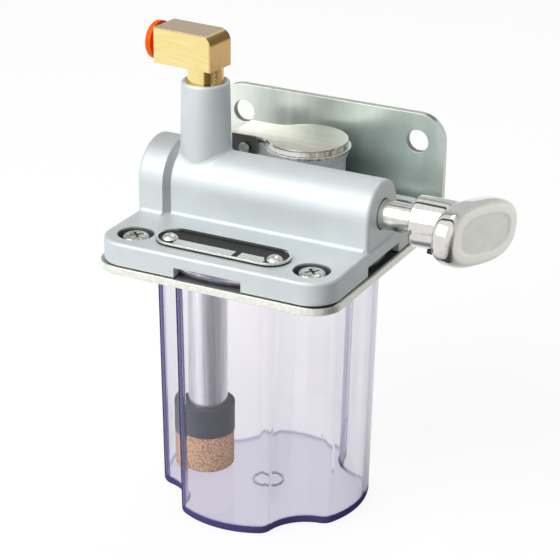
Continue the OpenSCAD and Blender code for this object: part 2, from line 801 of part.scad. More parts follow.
module filler_lid() {
  color("silver") translate([0, neck_y, 0]) difference() {
    union() {
      translate([0, 0, lid_z - lid_sheet]) linear_extrude(height = lid_sheet) lid_outline();
      translate([0, 0, lid_z - rim_t]) cylinder(r = lid_r, h = rim_t);
      for (s = [-1, 1])
        translate([tongue_x, s * (tongue_half - lid_sheet / 2) - lid_sheet / 2, pin_z - 1.8])
          cube([8.6, lid_sheet, lid_z - pin_z + 1.6]);
    }
    translate([0, 0, lid_z - rim_t - 1]) cylinder(r = lid_r - lid_sheet, h = rim_t + 1 - lid_sheet);
    translate([pin_x, 0, pin_z]) y_cyl(pin_r + run_fit, -10, 10);
  }
}

module lid_hinge_pin() {
  color("silver") translate([pin_x, neck_y, pin_z]) {
    y_cyl(pin_r, -7, 7);
    y_cyl(1.9, -7.6, -6.8);
    y_cyl(1.9, 6.8, 7.6);
  }
}

module lid_spring() {
  color("slategray") translate([pin_x, neck_y, pin_z]) rotate([-90, 0, 0]) coil(1.8, 0.3, -3.4, 3.4, 6, 16, 6);
}

pump_body();
mounting_bracket();
oil_tank();
tank_gasket();
cover_screws();
nameplate();
nameplate_rivets();
end_plug();
end_plug_seal();
rod_bush();
rod_seal();
piston();
piston_seal();
return_spring();
plunger_rod();
piston_nut();
handle();
handle_grub_screw();
suction_seat();
suction_ball();
suction_tube();
filter_collar();
filter_element();
outlet_ball();
outlet_spring();
outlet_elbow();
tube_seal();
tube_grip();
collar_guide();
release_collar();
filler_cup();
filler_lid();
lid_hinge_pin();
lid_spring();
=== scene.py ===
import math

import bpy
import numpy as np
from mathutils import Matrix, Vector


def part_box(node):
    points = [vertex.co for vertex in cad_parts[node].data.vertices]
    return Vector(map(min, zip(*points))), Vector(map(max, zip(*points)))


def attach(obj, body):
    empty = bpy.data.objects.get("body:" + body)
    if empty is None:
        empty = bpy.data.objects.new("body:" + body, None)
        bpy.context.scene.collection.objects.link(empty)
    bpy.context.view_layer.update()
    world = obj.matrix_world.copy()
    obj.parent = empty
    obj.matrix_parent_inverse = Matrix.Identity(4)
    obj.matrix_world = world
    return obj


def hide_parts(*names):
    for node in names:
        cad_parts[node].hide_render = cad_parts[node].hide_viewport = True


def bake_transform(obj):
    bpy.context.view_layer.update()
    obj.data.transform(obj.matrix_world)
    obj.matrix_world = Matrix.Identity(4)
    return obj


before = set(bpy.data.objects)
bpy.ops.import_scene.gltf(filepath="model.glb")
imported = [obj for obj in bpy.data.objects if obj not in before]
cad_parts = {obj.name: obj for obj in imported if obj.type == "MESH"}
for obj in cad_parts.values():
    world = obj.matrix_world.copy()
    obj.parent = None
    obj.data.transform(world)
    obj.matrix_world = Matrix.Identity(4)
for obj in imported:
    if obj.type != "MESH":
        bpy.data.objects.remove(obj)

MM = 0.001
scene = bpy.context.scene
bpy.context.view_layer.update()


# Pump body
# The head is one light-alloy casting: a square cover, the cylinder housing across it, the outlet tower and
# the filler neck. It is shot clean and sprayed with a satin silver-grey paint that keeps the casting's
# grain.

def put(tree, kind, wires=None, **settings):
    """One shader node. settings are its own properties, and wires are its inputs."""
    made = tree.nodes.new(kind)
    for key, value in settings.items():
        setattr(made, key, value)
    wire(tree, made, wires or {})
    return made


def wire(tree, made, wires):
    """Fills a node's inputs, by name or number: a socket is linked, and any other value is set."""
    for key, value in wires.items():
        if isinstance(value, bpy.types.NodeSocket):
            tree.links.new(value, made.inputs[key])
        else:
            made.inputs[key].default_value = value


def new_finish(name, **sockets):
    """A material with one Principled shader, its tree and the shader, with the shader's plain values set."""
    finish = bpy.data.materials.new(name)
    finish.use_nodes = True
    tree = finish.node_tree
    shader = tree.nodes["Principled BSDF"]
    wire(tree, shader, {key.replace("_", " "): value for key, value in sockets.items()})
    return finish, tree, shader


def dress(finish, *names):
    """Gives CAD nodes their finish."""
    for name in names:
        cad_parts[name].material_slots[0].material = finish


def place(tree, scale=(1, 1, 1)):
    """Object coordinates, stretched by scale, so that a pattern keeps its size on the piece."""
    where = put(tree, "ShaderNodeTexCoord").outputs["Object"]
    return put(tree, "ShaderNodeMapping", {"Vector": where, "Scale": scale}).outputs["Vector"]


def along(tree, axis):
    """One Object coordinate, in metres."""
    return put(tree, "ShaderNodeSeparateXYZ", {0: place(tree)}).outputs[axis]


def facing_to(tree, axis):
    """How far the surface faces along an axis, from -1 to 1."""
    way = put(tree, "ShaderNodeNewGeometry").outputs["Normal"]
    return put(tree, "ShaderNodeSeparateXYZ", {0: way}).outputs[axis]


def grain(tree, scale, detail=3.0, stretch=(1, 1, 1)):
    """Soft noise of about 1 / scale metres, drawn out along an axis by a small stretch there."""
    wires = {"Vector": place(tree, stretch), "Scale": scale, "Detail": detail}
    return put(tree, "ShaderNodeTexNoise", wires).outputs["Fac"]


def between(tree, source, low, high, start=0.0, stop=1.0):
    """source, stretched from start..stop to low..high, and held at low and high outside."""
    wires = {"Value": source, "From Min": start, "From Max": stop, "To Min": low, "To Max": high}
    return put(tree, "ShaderNodeMapRange", wires).outputs["Result"]


def rise(tree, source, start, stop):
    """0 where source is before start, and 1 where it is past stop."""
    return between(tree, source, 0, 1, start, stop)


def fall(tree, source, start, stop):
    """1 where source is before start, and 0 where it is past stop."""
    return between(tree, source, 1, 0, start, stop)


def maths(tree, operation, *values):
    """The values joined by one maths node."""
    return put(tree, "ShaderNodeMath", dict(enumerate(values)), operation=operation).outputs[0]


def both(tree, first, second):
    """1 where both shares are 1, by their product."""
    return maths(tree, "MULTIPLY", first, second)


def either(tree, first, second):
    """The larger of two values."""
    return maths(tree, "MAXIMUM", first, second)


def length(tree, vector):
    """A vector's length."""
    return put(tree, "ShaderNodeVectorMath", {0: vector}, operation="LENGTH").outputs["Value"]


def ramp(tree, source, stops):
    """A colour ramp over source, from (place, colour) stops."""
    made = put(tree, "ShaderNodeValToRGB", {"Fac": source})
    points = made.color_ramp.elements
    while len(points) < len(stops):
        points.new(1.0)
    for point, (at, colour) in zip(points, stops):
        point.position = at
        point.color = (*colour, 1.0)
    return made.outputs["Color"]


def blended(tree, share, first, second):
    """Two colours mixed: first at share 0, second at share 1."""
    wires = {"Factor": share, 6: first, 7: second}
    return put(tree, "ShaderNodeMix", wires, data_type="RGBA").outputs[2]


def rounded(tree, shader, radius, height=None, strength=0.2, distance=0.2 * MM):
    """Edges softened by radius, with a bump from height over them."""
    normal = put(tree, "ShaderNodeBevel", {"Radius": radius}, samples=4).outputs["Normal"]
    if height is not None:
        wires = {"Height": height, "Strength": strength, "Distance": distance, "Normal": normal}
        normal = put(tree, "ShaderNodeBump", wires).outputs["Normal"]
    wire(tree, shader, {"Normal": normal})


cast_paint, tree, shader = new_finish("cast_paint", Metallic=0.45, Coat_Weight=0.1, Coat_Roughness=0.3)
x = along(tree, "X")
z = along(tree, "Z")
orange_peel = grain(tree, 2600, 2)
silver = ramp(tree, grain(tree, 90, 4), [(0.3, (0.635, 0.675, 0.69)), (0.7, (0.69, 0.73, 0.74))])

# A border between two tones is soft by this much, mostly to each side.
EDGE = 0.1 * MM

# Painted shade: the joint with the bracket and the pockets round the screws are painted near black, as the
# shade that falls in the gap and the recesses.
SKIRT_FOOT = 82.6 * MM
COVER_TOP = 89.95 * MM
SCREW_AT = 28.8 * MM
POCKET_R = 6.0 * MM
joint_shade = fall(tree, z, SKIRT_FOOT + 0.34 * MM, SKIRT_FOOT + 0.37 * MM)
from_screw = put(tree, "ShaderNodeCombineXYZ", {
    axis: maths(tree, "SUBTRACT", maths(tree, "ABSOLUTE", along(tree, axis)), SCREW_AT) for axis in "XY"})
by_screw = between(tree, length(tree, from_screw.outputs[0]), 0.8, 0, POCKET_R - EDGE, POCKET_R + EDGE)
sunk = fall(tree, z, COVER_TOP - 0.8 * MM, COVER_TOP - EDGE)
shaded = either(tree, joint_shade, both(tree, by_screw, sunk))

# Painted shade: the top of the left end and the slope between that end and the housing are painted darker
# and greyer, as the shade that falls there.
END_STEP = -29.6 * MM
SLOPE_FOOT = -27.7 * MM
on_end = between(tree, x, 0.7, 0, END_STEP - EDGE, END_STEP + EDGE)
end_top = both(tree, on_end, rise(tree, facing_to(tree, "Z"), 0.5, 0.95))
past_end = rise(tree, x, END_STEP - EDGE, END_STEP + EDGE)
before_foot = fall(tree, x, SLOPE_FOOT - EDGE, SLOPE_FOOT + EDGE)
to_right = rise(tree, facing_to(tree, "X"), 0.2, 0.4)
slope = both(tree, both(tree, past_end, before_foot), to_right)
above_cover = rise(tree, z, COVER_TOP + 0.3 * MM, COVER_TOP + 0.6 * MM)
painted_end_shade = both(tree, either(tree, end_top, slope), above_cover)
silver_with_end_shade = blended(tree, painted_end_shade, silver, (0.41, 0.435, 0.445, 1))
wire(tree, shader, {
    "Base Color": blended(tree, shaded, silver_with_end_shade, (0.012, 0.014, 0.014, 1)),
    "Roughness": between(tree, orange_peel, 0.50, 0.60),
})
rounded(tree, shader, 0.45 * MM, orange_peel, 0.12)
dress(cast_paint, "pump_body")

# The tower runs into the housing in a hollow curve, as a casting does. At each angle round the tower the
# curve starts on the tower's wall and ends on the housing's round top.
TOWER_AT = np.array([-21.3, 0.0]) * MM
TOWER_R = 7.8 * MM
HOUSING_AXIS = 98.7 * MM
HOUSING_R = 10.2 * MM
FOOT_R = 1.15 * MM
FOOT_SUNK = 0.05 * MM


def tower_foot():
    """Round the tower by angle, and up the fillet by t. A point lies FOOT_R * (1 - sin t) out from the
    tower's wall, and FOOT_R * (1 - cos t) above the housing's surface under it, sunk a little. Both ends run
    on into the casting, and one row deep in it closes the ring."""
    angle = np.linspace(0, 2 * np.pi, 120, endpoint=False)[None, :]
    t = np.linspace(0, np.pi / 2, 12)
    past = FOOT_R + 0.2 * MM
    under = -0.1 * MM
    deep = -0.5 * MM
    out = np.concatenate([[past], FOOT_R * (1 - np.sin(t)), [under, deep]])[:, None]
    up = np.concatenate([[under], FOOT_R * (1 - np.cos(t)), [past, deep]])[:, None]
    reach = TOWER_R - FOOT_SUNK + out
    x = TOWER_AT[0] + reach * np.cos(angle)
    y = TOWER_AT[1] + reach * np.sin(angle)
    z = HOUSING_AXIS + np.sqrt(HOUSING_R**2 - y**2) + up - FOOT_SUNK
    return np.stack(np.broadcast_arrays(x, y, z), axis=-1)


def surface(name, points, loop_v=False):
    """A smooth closed mesh from a grid of points. The last column joins the first. With loop_v the last row
    joins the first row too, and without it both of these rows are capped."""
    rows, columns = points.shape[:2]
    number = np.arange(rows * columns).reshape(rows, columns)
    caps = [] if loop_v else [number[0, ::-1].tolist(), number[-1].tolist()]
    number = np.concatenate([number, number[:, :1]], axis=1)
    if loop_v:
        number = np.concatenate([number, number[:1]], axis=0)
    quads = np.stack([number[:-1, :-1], number[:-1, 1:], number[1:, 1:], number[1:, :-1]], axis=-1)
    mesh = bpy.data.meshes.new(name)
    mesh.from_pydata(points.reshape(-1, 3).tolist(), [], quads.reshape(-1, 4).tolist() + caps)
    mesh.polygons.foreach_set("use_smooth", np.ones(len(mesh.polygons), bool))
    mesh.update()
    piece = bpy.data.objects.new(name, mesh)
    scene.collection.objects.link(piece)
    return piece


foot = surface("tower_foot", tower_foot(), loop_v=True)
foot.data.materials.append(cast_paint)
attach(foot, "base")


# Mounting bracket
# A bent steel sheet, punched for the tank, the cover screws and the two wall holes, then bright zinc plated.
# The plating clouds a little, and a painted reflection runs across the upright from cream at its left end to
# grey-green. The sheared rim is rough.

def scaled(tree, colour, factor):
    """A colour times a factor."""
    return put(tree, "ShaderNodeVectorMath", {0: colour, "Scale": factor}, operation="SCALE").outputs[0]


zinc_sheet, tree, shader = new_finish("zinc_sheet", Metallic=0.85)
x = along(tree, "X")
z = along(tree, "Z")
streak = grain(tree, 500, 3, (1, 1, 0.12))
cloud = between(tree, grain(tree, 45, 5), 0.8, 1.2)
patina = maths(tree, "MULTIPLY", cloud, between(tree, streak, 0.92, 1.08))
SHEET_HALF = 38.9 * MM
# Painted reflection: this tone across the upright stands for the bright and the dark parts of the studio
# that it mirrors.
painted_reflection_across = ramp(tree, rise(tree, x, -SHEET_HALF, SHEET_HALF), [
    (0.0, (0.90, 0.91, 0.85)),
    (0.13, (0.80, 0.83, 0.78)),
    (0.25, (0.71, 0.76, 0.71)),
    (0.32, (0.72, 0.77, 0.725)),
    (0.40, (0.62, 0.68, 0.64)),
    (0.48, (0.48, 0.54, 0.505)),
    (0.62, (0.68, 0.78, 0.73)),
    (0.85, (0.70, 0.80, 0.74)),
    (1.0, (0.78, 0.86, 0.81)),
])

# Painted shadow: the upright's front is darker in a soft patch behind the lid, where the housing casts its
# shadow. The walls of the wall holes are painted dark, as painted shade.
SHADOW_X = (-10 * MM, 30 * MM)
SHADOW_Z = (85 * MM, 103 * MM)
HOLES_WITHIN = 35 * MM
from_shadow = put(tree, "ShaderNodeCombineXYZ", {
    "X": between(tree, x, -1, 1, *SHADOW_X),
    "Y": between(tree, z, -1, 1, *SHADOW_Z),
})
housing_shadow = between(tree, length(tree, from_shadow.outputs[0]), 0.46, 1.02, 0.42, 1.4)
in_front = rise(tree, facing_to(tree, "Y"), -0.3, -0.7)
shadow_dimmed = put(tree, "ShaderNodeMix", {0: in_front, 2: 1.0, 3: housing_shadow}).outputs[0]
edgeways = maths(tree, "ABSOLUTE", facing_to(tree, "Y"))
off_middle = {axis: maths(tree, "ABSOLUTE", along(tree, axis)) for axis in "XY"}
holes = fall(tree, off_middle["X"], HOLES_WITHIN, HOLES_WITHIN + 1 * MM)
hole_shade = both(tree, fall(tree, edgeways, 0.4, 0.6), holes)
upright = scaled(tree, painted_reflection_across, maths(tree, "MULTIPLY", patina, shadow_dimmed))
upright = blended(tree, hole_shade, upright, (0.26, 0.27, 0.26, 1))

# The rim is cream, with a painted shade along the top of the upright, which faces the dim ceiling. The plate
# is painted dark where the cover lies over it, as painted shade, darker to the right.
COVER_HALF = 38.0 * MM
HIGH_UP = (100 * MM, 105 * MM)
SHADE_X = (20 * MM, 36 * MM)
on_top = rise(tree, facing_to(tree, "Z"), 0.7, 0.9)
top_rim_shade = both(tree, on_top, rise(tree, z, *HIGH_UP))
rim = ramp(tree, grain(tree, 900, 4), [(0.35, (0.82, 0.83, 0.75)), (0.65, (0.96, 0.97, 0.90))])
rim = scaled(tree, rim, between(tree, top_rim_shade, 1.0, 0.66))
furthest = either(tree, off_middle["X"], off_middle["Y"])
covered = both(tree, on_top, fall(tree, furthest, COVER_HALF - EDGE, COVER_HALF))
in_shade = ramp(tree, rise(tree, x, *SHADE_X), [
    (0.0, (0.48, 0.50, 0.49)), (1.0, (0.13, 0.14, 0.137))])
rim = blended(tree, covered, rim, in_shade)

UPRIGHT_TOP = 116.0 * MM
behind = rise(tree, along(tree, "Y"), COVER_HALF - 2 * MM, COVER_HALF)
under_rim = fall(tree, z, UPRIGHT_TOP - 0.3 * MM, UPRIGHT_TOP - EDGE)
wire(tree, shader, {
    "Base Color": blended(tree, both(tree, behind, under_rim), rim, upright),
    "Roughness": between(tree, streak, 0.32, 0.5),
})
rounded(tree, shader, 0.35 * MM, grain(tree, 1500, 3), 0.15)
dress(zinc_sheet, "mounting_bracket")


# Oil tank
# A clear moulding with a faint violet tint, held by its flange between the bracket and the cover. Light that
# is turned back inside the wall takes up the tint many times, so edges are dark violet and the faces stay
# clear. On the left the dark edges are also a painted reflection of the dark surround, and the floor carries
# a painted shadow of the ground under the tank.

def bare_finish(name):
    """A material with no shader yet, and its tree."""
    finish = bpy.data.materials.new(name)
    finish.use_nodes = True
    tree = finish.node_tree
    tree.nodes.remove(tree.nodes["Principled BSDF"])
    return finish, tree


def mixed(tree, share, first, second):
    """Two shaders mixed: first at share 0, second at share 1."""
    return put(tree, "ShaderNodeMixShader", {0: share, 1: first, 2: second}).outputs[0]


def without(tree, first, second):
    """The first share less the second, and never under 0."""
    wires = {0: first, 1: second}
    return put(tree, "ShaderNodeMath", wires, operation="SUBTRACT", use_clamp=True).outputs[0]


CLEAR_IOR = 1.5
OVER_FLOOR = 2.3 * MM
clear_plastic, tree = bare_finish("clear_plastic")
x = along(tree, "X")
z = along(tree, "Z")
path = put(tree, "ShaderNodeLightPath").outputs
shape = put(tree, "ShaderNodeNewGeometry").outputs
inside = shape["Backfacing"]
first_hit = maths(tree, "LESS_THAN", path["Transmission Depth"], 0.5)
outside = without(tree, first_hit, inside)

# Light turned back once inside the wall is tinted violet. It is painted dark on the left, as a painted
# reflection of the dark surround, and at the floor, as a painted shadow of the ground under the tank, and it
# is paler on the right.
LOW_END = 4 * MM
LEFT_PART = (-6 * MM, 10 * MM)
low = fall(tree, z, OVER_FLOOR + EDGE, LOW_END)
dark_left_reflection = fall(tree, x, *LEFT_PART)
edge_tint = ramp(tree, either(tree, low, dark_left_reflection), [(0.0, (0.72, 0.71, 0.84)), (1.0, (0.07, 0.06, 0.26))])
first_turn = both(tree, inside, maths(tree, "LESS_THAN", path["Glossy Depth"], 0.5))
turned_back = blended(tree, first_turn, (1, 1, 1, 1), edge_tint)

# The wall's tint is a little deeper low down and on the right. The floor is deeper still, as a painted
# shadow of the ground under the tank, and so is its inner corner. The edges on the left, where the wall is
# seen along its face, are painted dark as well, a painted reflection of the dark surround.
DOWN_WALL = (75 * MM, 15 * MM)
RIGHT_PART = (4 * MM, 30 * MM)
CORNER_START = (1.9 * MM, 2.2 * MM)
CORNER_END = (2.7 * MM, 3.0 * MM)
deep = either(tree, rise(tree, z, *DOWN_WALL), between(tree, x, 0, 0.85, *RIGHT_PART))
wall_tint = ramp(tree, deep, [(0.0, (0.99, 0.985, 0.994)), (1.0, (0.928, 0.922, 0.94))])
face_tint = blended(tree, low, wall_tint, (0.885, 0.873, 0.925, 1))
corner = both(tree, rise(tree, z, *CORNER_START), fall(tree, z, *CORNER_END))
face_tint = blended(tree, without(tree, corner, first_hit), face_tint, (0.62, 0.605, 0.71, 1))
facing = put(tree, "ShaderNodeLayerWeight", {"Blend": 0.5}).outputs["Facing"]
grazed = both(tree, rise(tree, facing, 0.66, 0.72), dark_left_reflection)
edge_outside = both(tree, grazed, outside)
face_tint = blended(tree, edge_outside, face_tint, (0.14, 0.13, 0.30, 1))
sheen = blended(tree, edge_outside, turned_back, (0.13, 0.12, 0.30, 1))

# The floor is flat on both sides, so its normals are made upright there.
flat_z = put(tree, "ShaderNodeSeparateXYZ", {0: shape["True Normal"]}).outputs["Z"]
lying = maths(tree, "GREATER_THAN", maths(tree, "ABSOLUTE", flat_z), 0.8)
on_floor = both(tree, lying, maths(tree, "LESS_THAN", z, OVER_FLOOR))
up_or_down = put(tree, "ShaderNodeCombineXYZ", {"Z": maths(tree, "SIGN", flat_z)}).outputs[0]
level_wires = {0: on_floor, 4: shape["Normal"], 5: up_or_down}
level = put(tree, "ShaderNodeMix", level_wires, data_type="VECTOR").outputs[1]

bend = put(tree, "ShaderNodeBsdfRefraction", {
    "Color": face_tint, "Roughness": 0.0, "IOR": CLEAR_IOR, "Normal": level}).outputs[0]
mirror = put(tree, "ShaderNodeBsdfGlossy", {"Color": sheen, "Roughness": 0.03, "Normal": level}).outputs[0]
turned_share = put(tree, "ShaderNodeFresnel", {"IOR": CLEAR_IOR, "Normal": level}).outputs["Fac"]
body = mixed(tree, turned_share, bend, mirror)

# The flange is frosted. The rounding under the wall is painted all but solid dark violet: partly the tint it
# gathers, partly a painted shade of the shadowed ground seen through it.
FLANGE_FOOT = 83.6 * MM
FOOT_END = (2.7 * MM, 2.9 * MM)
at_flange = between(tree, z, 0, 0.45, FLANGE_FOOT - 0.3 * MM, FLANGE_FOOT + 0.2 * MM)
frosted = put(tree, "ShaderNodeBsdfDiffuse", {"Color": (0.40, 0.385, 0.50, 1)}).outputs[0]
body = mixed(tree, at_flange, body, frosted)
off_floor = rise(tree, facing_to(tree, "Z"), -0.97, -0.9)
low_round = both(tree, fall(tree, z, *FOOT_END), off_floor)
foot_tint_and_shade = put(tree, "ShaderNodeBsdfDiffuse", {"Color": (0.085, 0.075, 0.225, 1)}).outputs[0]
body = mixed(tree, between(tree, both(tree, low_round, outside), 0, 0.92), body, foot_tint_and_shade)
lamp_way = put(tree, "ShaderNodeBsdfTransparent", {"Color": (0.93, 0.925, 0.96, 1)}).outputs[0]
wire(tree, tree.nodes["Material Output"], {"Surface": mixed(tree, path["Is Shadow Ray"], body, lamp_way)})
dress(clear_plastic, "oil_tank")


# Rubber seals
# The gasket under the tank's flange, the rod wiper and the O-rings are moulded black rubber, matte and a
# little dusty.

black_rubber, tree, shader = new_finish("black_rubber", Specular_IOR_Level=0.25)
dust = grain(tree, 700, 4)
wire(tree, shader, {
    "Base Color": ramp(tree, dust, [(0.35, (0.018, 0.019, 0.02)), (0.75, (0.05, 0.052, 0.055))]),
    "Roughness": between(tree, dust, 0.5, 0.75),
})
rounded(tree, shader, 0.15 * MM, dust, 0.1)
dress(black_rubber, "tank_gasket", "rod_seal", "end_plug_seal", "piston_seal", "tube_seal")


# Screws, rivets and turned steel
# Bright plated steel: the four cover screws, the lid's hinge pin, the nameplate's rivets, the plunger rod,
# the piston's nut, the end plug and the balls. The plating has a slight yellow-green cast. The handle's grub
# screw is blackened.

plated_steel, tree, shader = new_finish("plated_steel", Metallic=1.0)
scuff = grain(tree, 900, 4)
wire(tree, shader, {
    "Base Color": ramp(tree, scuff, [(0.3, (0.62, 0.63, 0.58)), (0.7, (0.76, 0.77, 0.72))]),
    "Roughness": between(tree, scuff, 0.14, 0.26),
})
rounded(tree, shader, 0.2 * MM, scuff, 0.05)
dress(plated_steel, "nameplate_rivets", "end_plug", "plunger_rod", "piston_nut")
dress(plated_steel, "suction_ball", "outlet_ball")

screw_steel, tree, shader = new_finish("screw_steel", Metallic=1.0)
scuff = grain(tree, 1500, 4)
wire(tree, shader, {
    "Base Color": ramp(tree, scuff, [(0.35, (0.30, 0.31, 0.29)), (0.65, (0.72, 0.73, 0.68))]),
    "Roughness": between(tree, scuff, 0.15, 0.3),
})
rounded(tree, shader, 0.35 * MM, scuff, 0.25, 0.3 * MM)
dress(screw_steel, "cover_screws", "lid_hinge_pin")

black_steel, tree, shader = new_finish("black_steel", Metallic=0.6)
scuff = grain(tree, 1500, 3)
wire(tree, shader, {
    "Base Color": ramp(tree, scuff, [(0.3, (0.02, 0.018, 0.018)), (0.8, (0.06, 0.055, 0.05))]),
    "Roughness": between(tree, scuff, 0.35, 0.55),
})
rounded(tree, shader, 0.15 * MM)
dress(black_steel, "handle_grub_screw")


# Nameplate
# A pressed plate with a raised rim and two plain bars, held by two rivets. The raised parts are bare metal,
# dull along the far rim, and the field between them is filled with black enamel.

plate_metal, tree, shader = new_finish("plate_metal", Specular_IOR_Level=0.2)
plate_low, plate_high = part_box("nameplate")
FIELD_TOP = plate_low.z + 0.56 * MM
PLATE_BACK = plate_high.y
raised = maths(tree, "GREATER_THAN", along(tree, "Z"), FIELD_TOP)
bright_part = between(tree, along(tree, "Y"), 1, 0.1, PLATE_BACK - 1.4 * MM, PLATE_BACK - 0.9 * MM)
raised = both(tree, raised, bright_part)
scuff = grain(tree, 1300, 4)
bare = ramp(tree, scuff, [(0.3, (0.55, 0.54, 0.50)), (0.7, (0.74, 0.73, 0.70))])
enamel = ramp(tree, scuff, [(0.3, (0.010, 0.010, 0.011)), (0.7, (0.026, 0.026, 0.026))])
wire(tree, shader, {
    "Base Color": blended(tree, raised, enamel, bare),
    "Metallic": between(tree, raised, 0.0, 1.0),
    "Roughness": between(tree, raised, 0.5, 0.24),
})
rounded(tree, shader, 0.25 * MM, scuff, 0.08)
dress(plate_metal, "nameplate")


# Bush and piston
# Both are turned from bronze bar, and the tool leaves fine rings. The rod runs in the bush in the right end
# wall, and the piston slides in the bore.

bronze, tree, shader = new_finish("bronze", Metallic=1.0)
turned = grain(tree, 1200, 3, (6, 1, 1))
wire(tree, shader, {
    "Base Color": ramp(tree, turned, [(0.3, (0.42, 0.26, 0.13)), (0.7, (0.60, 0.40, 0.21))]),
    "Roughness": between(tree, turned, 0.25, 0.4),
})
rounded(tree, shader, 0.15 * MM, turned, 0.08)
dress(bronze, "rod_bush", "piston")


# Springs
# Spring steel, with round wire wound cold. The return spring stands between the piston and the rod's bush,
# and the outlet spring between its ball and the elbow's stem. In the pump each closes up as its piece moves;
# here each coil is drawn at one length. The lid's spring and the tube's grip are of the same steel.

spring_steel, tree, shader = new_finish("spring_steel", Metallic=1.0)
drawn = grain(tree, 1800, 3)
wire(tree, shader, {
    "Base Color": ramp(tree, drawn, [(0.3, (0.32, 0.32, 0.34)), (0.7, (0.46, 0.46, 0.48))]),
    "Roughness": between(tree, drawn, 0.25, 0.42),
})
dress(spring_steel, "return_spring", "outlet_spring", "lid_spring", "tube_grip")


def coil(radius, wire_r, start, stop, turns):
    """Along the wire by the angle a about the spring's axis, and round the wire by b. A point lies
    radius + wire_r * cos b from the axis. Its place on the axis grows evenly with a, plus wire_r * sin b."""
    a = np.linspace(0, 2 * np.pi * turns, 24 * turns + 1)[:, None]
    b = np.linspace(0, -2 * np.pi, 10, endpoint=False)[None, :]
    reach = radius + wire_r * np.cos(b)
    on_axis = start + (stop - start) * a / a[-1] + wire_r * np.sin(b)
    return np.broadcast_arrays(reach * np.cos(a), reach * np.sin(a), on_axis)


RETURN_R = 5.9 * MM
RETURN_WIRE = 0.55 * MM
RETURN_TURNS = 7
at_piston, at_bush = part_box("return_spring")
side, up, on_axis = coil(
    RETURN_R, RETURN_WIRE, at_piston.x + RETURN_WIRE, at_bush.x - RETURN_WIRE, RETURN_TURNS)
return_coil = surface("return_coil", np.stack([on_axis, up, HOUSING_AXIS - side], axis=-1))
return_coil.data.materials.append(spring_steel)
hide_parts("return_spring")
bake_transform(return_coil)

OUTLET_R = 2.3 * MM
OUTLET_WIRE = 0.28 * MM
OUTLET_TURNS = 5
at_ball, at_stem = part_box("outlet_spring")
side, up, on_axis = coil(
    OUTLET_R, OUTLET_WIRE, at_ball.z + OUTLET_WIRE, at_stem.z - OUTLET_WIRE, OUTLET_TURNS)
outlet_coil = surface("outlet_coil", np.stack([TOWER_AT[0] + side, TOWER_AT[1] + up, on_axis], axis=-1))
outlet_coil.data.materials.append(spring_steel)
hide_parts("outlet_spring")
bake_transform(outlet_coil)


# Handle
# A chromed casting: a round hub pinned on the rod, spread in hollow curves into an oval bar. The rim is
# polished, the face is rubbed to a satin, and a shallow panel is pressed into it.

HANDLE_AT = np.array([69.4, 0.0, 98.7]) * MM
HANDLE_TURN = math.radians(-14.7)
BAR_HALF = np.array([27.0, 9.6]) * MM
BAR_SQUARENESS = 2.75
RIM = 2.4 * MM
BACK_RIM = 2.2 * MM
BAR_THICK = 6.5 * MM
WEB_LENGTH = 5.0 * MM
HUB_R = 7.65 * MM
HUB_LENGTH = 21.2 * MM
ROD_R = 4.4 * MM
BORE_DEPTH = 3.0 * MM
PANEL = 0.35 * MM
PANEL_EDGE = 0.74
PANEL_SLOPE = 0.1
POLE = 0.002


def handle_surface():
    """Rings from the middle of the face to the rod's bore. Each ring is the oval's outline, a superellipse,
    scaled on the face, moved in along its normal on the rims, or blended with the hub's circle on the web,
    at a depth behind the face that follows two quarter rounds and one hollow quarter round."""
    t = np.linspace(0, -2 * np.pi, 240, endpoint=False)
    circle = np.stack([np.cos(t), np.sin(t)], axis=-1)
    outline = BAR_HALF * np.sign(circle) * np.abs(circle)**(2 / BAR_SQUARENESS)
    tangent = np.roll(outline, -1, axis=0) - np.roll(outline, 1, axis=0)
    normal = np.stack([-tangent[:, 1], tangent[:, 0]], axis=-1) / np.linalg.norm(tangent, axis=-1)[:, None]
    hub = HUB_R * circle
    quarter = np.linspace(0, np.pi / 2, 10)
    flat_edge = outline - RIM * normal
    k = np.concatenate([np.linspace(POLE, PANEL_EDGE, 12), np.linspace(0.76, 0.84, 7), [0.9, 0.96]])
    face = flat_edge * k[:, None, None]
    climb = np.clip((k - PANEL_EDGE) / PANEL_SLOPE, 0, 1)
    face_depth = PANEL * (1 - climb**2 * (3 - 2 * climb))
    rim = outline - RIM * (1 - np.sin(quarter))[:, None, None] * normal
    rim_depth = RIM * (1 - np.cos(quarter))
    heel = outline - BACK_RIM * (1 - np.cos(quarter))[:, None, None] * normal
    heel_depth = BAR_THICK - BACK_RIM * (1 - np.sin(quarter))
    web_share = np.sin(quarter)[1:, None, None]
    web = (outline - BACK_RIM * normal) * (1 - web_share) + hub * web_share
    web_depth = BAR_THICK + WEB_LENGTH * (1 - np.cos(quarter))[1:]
    tail = np.array([1.0, 1.0, 0.99, 0.97, 0.93, ROD_R / HUB_R, ROD_R / HUB_R, POLE])
    from_tail = np.array([1.6 * MM, 0.6 * MM, 0.3 * MM, 0.1 * MM, 0.0, 0.0, BORE_DEPTH, BORE_DEPTH])
    tail_depth = HUB_LENGTH - from_tail
    rings = np.concatenate([face, rim, heel, web, hub * tail[:, None, None]])
    depth = np.concatenate([face_depth, rim_depth, heel_depth, web_depth, tail_depth])
    along_bar, across_bar = rings[..., 0], rings[..., 1]
    cos, sin = math.cos(HANDLE_TURN), math.sin(HANDLE_TURN)
    x = HANDLE_AT[0] - np.broadcast_to(depth[:, None], along_bar.shape)
    y = HANDLE_AT[1] + along_bar * cos - across_bar * sin
    z = HANDLE_AT[2] + along_bar * sin + across_bar * cos
    return np.stack([x, y, z], axis=-1)


